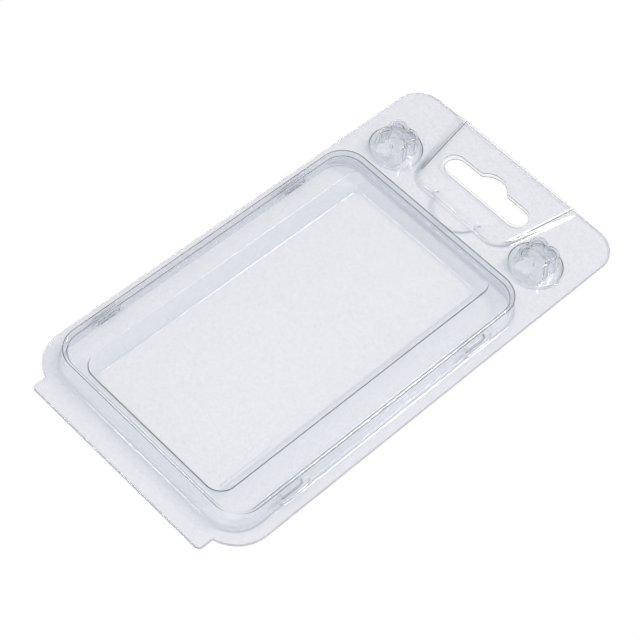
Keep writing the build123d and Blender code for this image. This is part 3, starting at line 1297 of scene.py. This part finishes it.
@dataclass(frozen=True)
class ClearSheet:
    """Clear formed plastic sheet: glossy, faintly cool, with a fine grain."""

    name: str
    tint: tuple[float, float, float] = (0.956, 0.962, 0.984)
    edge_on: tuple[float, float, float] = (0.92, 0.935, 0.985)
    edge_start: float = 0.5
    haze: tuple[float, float] = (0.962, 1.0)
    haze_scale: float = 1150.0
    header_haze: float = 0.4
    index: float = 1.54
    roughness: tuple[float, float] = (0.015, 0.05)
    cloud_scale: float = 90.0
    wave_scale: float = 55.0
    wave_height: float = 0.00005
    wave_detail: float = 1.5
    grain_scale: float = 1300.0
    grain_height: float = 0.00001
    grain_detail: float = 2.0
    grain_from: float = 0.043
    ripple_from: float = 0.0388
    ripple_pitch: float = 0.00056
    ripple_height: float = 0.0000025
    drift: tuple[float, float, float] = (0.0, 0.0, 0.0)
    shade_places: tuple[float, ...] = (0.0, 0.2, 0.42, 0.6, 0.85, 0.92, 0.98, 1.0)
    upright_shade: float = 0.92
    slope_shade: float = 0.90
    bend_shade: float = 0.54
    level_shade: tuple[float, float] = (0.97, 0.98)
    cool: float = 0.3

    def shade(self) -> tuple[tuple[float, float], ...]:
        """List how much light a face lets down to the floor.

        Returns:
            Pairs of how level a face lies and its share of light, upright faces first.
        """
        values = (self.upright_shade, self.upright_shade, self.slope_shade, self.bend_shade,
                  self.bend_shade, self.slope_shade, *self.level_shade)
        return tuple(zip(self.shade_places, values))

    def relief(self, board: ShaderBoard, place: bpy.types.NodeSocket) -> bpy.types.NodeSocket:
        """Build the waves, the header's fine grain and the ripples of the right flange.

        Args:
            board: The material's board.
            place: The socket of the place on the sheet.

        Returns:
            The height's socket, in metres.
        """
        where = board.parts(place)
        waves = board.noise(place, self.wave_scale, self.wave_detail)
        waves = board.maths("MULTIPLY", waves, self.wave_height)
        on_header = board.maths("GREATER_THAN", where["Y"], self.grain_from)
        grain = board.noise(place, self.grain_scale, self.grain_detail)
        grain = board.maths("MULTIPLY", grain, self.grain_height)
        grain = board.maths("MULTIPLY", grain, on_header)
        on_edge = board.maths("GREATER_THAN", where["X"], self.ripple_from)
        turn = board.maths("MULTIPLY", where["X"], FULL_TURN / self.ripple_pitch)
        ripple = board.maths("MULTIPLY", board.maths("SINE", turn, 0.0), self.ripple_height)
        ripple = board.maths("MULTIPLY", ripple, on_edge)
        return board.maths("ADD", board.maths("ADD", waves, grain), ripple)

    def haze_share(self, board: ShaderBoard, place: bpy.types.NodeSocket,
                   moved: bpy.types.NodeSocket) -> bpy.types.NodeSocket:
        """Build the fine haze, which is stronger on the header.

        Args:
            board: The material's board.
            place: The socket of the place on the sheet.
            moved: The same place, shifted for this half's own noise.

        Returns:
            The socket of the share of light that is left.
        """
        on_header = board.maths("GREATER_THAN", board.parts(place)["Y"], self.grain_from)
        weight = board.maths("ADD", board.maths("MULTIPLY", on_header, self.header_haze), 1.0)
        lost = board.maths("SUBTRACT", 1.0, board.spread_noise(moved, self.haze_scale, self.haze))
        return board.maths("SUBTRACT", 1.0, board.maths("MULTIPLY", lost, weight))

    def make(self) -> bpy.types.Material:
        """Build the material."""
        material, board, output = material_board(self.name)
        surface = board.add("ShaderNodeBsdfPrincipled")
        facing = board.add("ShaderNodeLayerWeight")
        colour = board.two_tones(facing.outputs["Facing"], (self.edge_start, 1),
                                 (self.tint, self.edge_on))
        where = board.add("ShaderNodeTexCoord").outputs["Object"]
        moved = board.add("ShaderNodeVectorMath", operation="ADD")
        board.join(where, moved.inputs[0])
        moved.inputs[1].default_value = self.drift
        hazed = board.add("ShaderNodeVectorMath", operation="SCALE")
        board.join(colour, hazed.inputs[0])
        board.join(self.haze_share(board, where, moved.outputs[0]), hazed.inputs["Scale"])
        board.join(hazed.outputs[0], surface.inputs["Base Color"])
        board.join(board.spread_noise(moved.outputs[0], self.cloud_scale, self.roughness),
                   surface.inputs["Roughness"])
        bump = board.add("ShaderNodeBump")
        bump.inputs["Distance"].default_value = 1
        board.join(self.relief(board, where), bump.inputs["Height"])
        board.join(bump.outputs[0], surface.inputs["Normal"])
        surface.inputs["IOR"].default_value = self.index
        surface.inputs["Transmission Weight"].default_value = 1
        clear = board.add("ShaderNodeBsdfTransparent")
        lie = board.add("ShaderNodeNewGeometry")
        level = board.maths("ABSOLUTE", board.parts(lie.outputs["True Normal"])["Z"], 0.0)
        board.join(board.ramp(level, self.shade(), self.cool), clear.inputs["Color"])
        path = board.add("ShaderNodeLightPath")
        lit = board.maths("MAXIMUM", path.outputs["Is Shadow Ray"], path.outputs["Is Diffuse Ray"])
        seen = board.mix(lit, surface.outputs[0], clear.outputs[0])
        board.join(seen, output.inputs["Surface"])
        return material


@dataclass(frozen=True)
class CutEdge:
    """The sheet's cut edge: pale, dull and slightly uneven."""

    name: str = "cut_edge"
    pale: tuple[float, float, float] = (0.97, 0.975, 0.99)
    deep: tuple[float, float, float] = (0.88, 0.90, 0.94)
    roughness: float = 0.45
    see_through: float = 0.7
    speck_scale: float = 700.0
    speck_detail: float = 2.0
    speck_span: tuple[float, float] = (0.35, 0.65)

    def make(self) -> bpy.types.Material:
        """Build the material."""
        material, board, output = material_board(self.name)
        surface = board.add("ShaderNodeBsdfPrincipled")
        where = board.add("ShaderNodeTexCoord")
        specks = board.noise(where.outputs["Object"], self.speck_scale, self.speck_detail)
        colour = board.two_tones(specks, self.speck_span, (self.deep, self.pale))
        board.join(colour, surface.inputs["Base Color"])
        surface.inputs["Roughness"].default_value = self.roughness
        surface.inputs["Transmission Weight"].default_value = self.see_through
        board.join(surface.outputs[0], output.inputs["Surface"])
        return material


@dataclass(frozen=True)
class PhotoCamera:
    """The camera at the photograph's viewing angle, in millimetres and degrees."""

    target: tuple[float, float, float] = (1.67, -5.43, 0.5)
    distance: float = 586.13
    azimuth: float = 35.378
    elevation: float = 53.959
    roll: float = 12.02
    lens: float = 116.317
    sensor: float = 36.0
    nearest: float = 0.01

    def make(self) -> None:
        """Place the camera and make it the scene's own."""
        around = math.radians(self.azimuth)
        above = math.radians(self.elevation)
        turn = math.radians(self.roll)
        back = Vector((math.sin(around) * math.cos(above), -math.cos(around) * math.cos(above),
                       math.sin(above)))
        level = Vector((math.cos(around), math.sin(around), 0))
        upright = back.cross(level)
        right = level * math.cos(turn) + upright * math.sin(turn)
        up = upright * math.cos(turn) - level * math.sin(turn)
        data = bpy.data.cameras.new("photo_camera")
        data.lens = self.lens
        data.sensor_width = self.sensor
        data.clip_start = self.nearest
        camera = placed("photo_camera", data)
        axes = Matrix((right, up, back)).transposed()
        place = (Vector(self.target) + back * self.distance) * MM
        camera.matrix_world = Matrix.Translation(place) @ axes.to_4x4()
        bpy.context.scene.camera = camera


@dataclass(frozen=True)
class Softbox:
    """A square lamp that faces the pack, in metres and watts."""

    name: str
    place: tuple[float, float, float]
    side: float
    power: float

    def make(self) -> None:
        """Hang the lamp at its place, turned to the pack."""
        data = bpy.data.lights.new(self.name, "AREA")
        data.shape = "SQUARE"
        data.size = self.side
        data.energy = self.power
        lamp = placed(self.name, data)
        lamp.location = self.place
        lamp.rotation_mode = "QUATERNION"
        lamp.rotation_quaternion = Vector(self.place).to_track_quat("Z", "Y")


@dataclass(frozen=True)
class Studio:
    """The pale floor, the room's own light and the lamps."""

    floor_side: float = 6.0
    floor_drop: float = 0.05
    floor_colour: float = 0.9
    own_white: float = 0.93
    white_through: float = 0.28
    sky_stops: tuple[tuple[float, float], ...] = (
        (0.0, 0.52), (0.2, 0.48), (0.5, 0.46), (0.75, 0.55), (0.86, 0.85), (1.0, 0.9))
    lamps: tuple[Softbox, ...] = (
        Softbox("key_softbox", (0.54, 0.72, 1.2), 0.32, 17.0),
        Softbox("fold_softbox", (-0.41, -0.55, 0.98), 0.16, 1.8),
    )
    bounces: int = 32

    def floor_material(self) -> bpy.types.Material:
        """Build the floor's white, which still takes a shadow."""
        material, board, output = material_board("studio_floor")
        matt = board.add("ShaderNodeBsdfDiffuse")
        matt.inputs["Color"].default_value = (self.floor_colour,) * 3 + (1,)
        white = board.add("ShaderNodeEmission")
        white.inputs["Strength"].default_value = 1
        path = board.add("ShaderNodeLightPath")
        direct = board.maths("MULTIPLY", path.outputs["Is Camera Ray"], self.own_white)
        seen = board.maths("MAXIMUM", path.outputs["Is Glossy Ray"],
                           path.outputs["Is Transmission Ray"])
        through = board.maths("MULTIPLY", seen, self.white_through)
        share = board.maths("MAXIMUM", direct, through)
        mixed = board.mix(share, matt.outputs[0], white.outputs[0])
        board.join(mixed, output.inputs["Surface"])
        return material

    def make_floor(self) -> None:
        """Lay the floor just under the pack."""
        half = self.floor_side / 2
        low = -self.floor_drop * MM
        corners = [(-half, -half, low), (half, -half, low), (half, half, low), (-half, half, low)]
        mesh = bpy.data.meshes.new("studio_floor")
        mesh.from_pydata(corners, [], [(0, 1, 2, 3)])
        mesh.materials.append(self.floor_material())
        floor = placed("studio_floor", mesh)

    def make_sky(self) -> None:
        """Light the room more from overhead than from the sides, and show the camera white."""
        world = bpy.data.worlds.new("studio_sky")
        bpy.context.scene.world = world
        world.use_nodes = True
        world.node_tree.nodes.clear()
        board = ShaderBoard(world.node_tree)
        output = board.add("ShaderNodeOutputWorld")
        where = board.add("ShaderNodeTexCoord")
        glow = board.ramp(board.parts(where.outputs["Generated"])["Z"], self.sky_stops)
        path = board.add("ShaderNodeLightPath")
        strength = board.maths("MAXIMUM", glow, path.outputs["Is Camera Ray"])
        sky = board.add("ShaderNodeBackground")
        board.join(strength, sky.inputs["Strength"])
        board.join(sky.outputs[0], output.inputs["Surface"])

    def make(self) -> None:
        """Build the whole studio."""
        self.make_floor()
        self.make_sky()
        for lamp in self.lamps:
            lamp.make()
        scene = bpy.context.scene
        scene.view_settings.view_transform = "Standard"
        scene.cycles.caustics_reflective = False
        scene.cycles.caustics_refractive = False
        scene.cycles.max_bounces = self.bounces
        scene.cycles.transmission_bounces = self.bounces
        scene.cycles.transparent_max_bounces = self.bounces


def main() -> None:
    """Build the camera, the studio and the pack's looks."""
    PhotoCamera().make()
    Studio().make()
    outline = CutOutline()
    plan = PackPlan(fold_y=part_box("back_tray")[1].y / MM - outline.length, outline=outline)
    cut_edge = CutEdge().make()
    tray = TraySheet(plan).make((
        ClearSheet("clear_back", edge_on=(0.985, 0.988, 1.0), bend_shade=0.82).make(), cut_edge))
    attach(tray, "back")
    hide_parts("back_tray")
    cover = CoverSheet(plan).make((
        ClearSheet("clear_front", drift=(0.13, 0.07, 0.0)).make(), cut_edge))
    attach(cover, "front")
    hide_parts("front_cover")
    bend = FoldBend(plan).make(ClearSheet("clear_bend").make())
    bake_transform(bend)
    for piece in (tray, cover, bend):
        log.info("%s: %d faces", piece.name, len(piece.data.polygons))


if __name__ == "__main__":
    main()
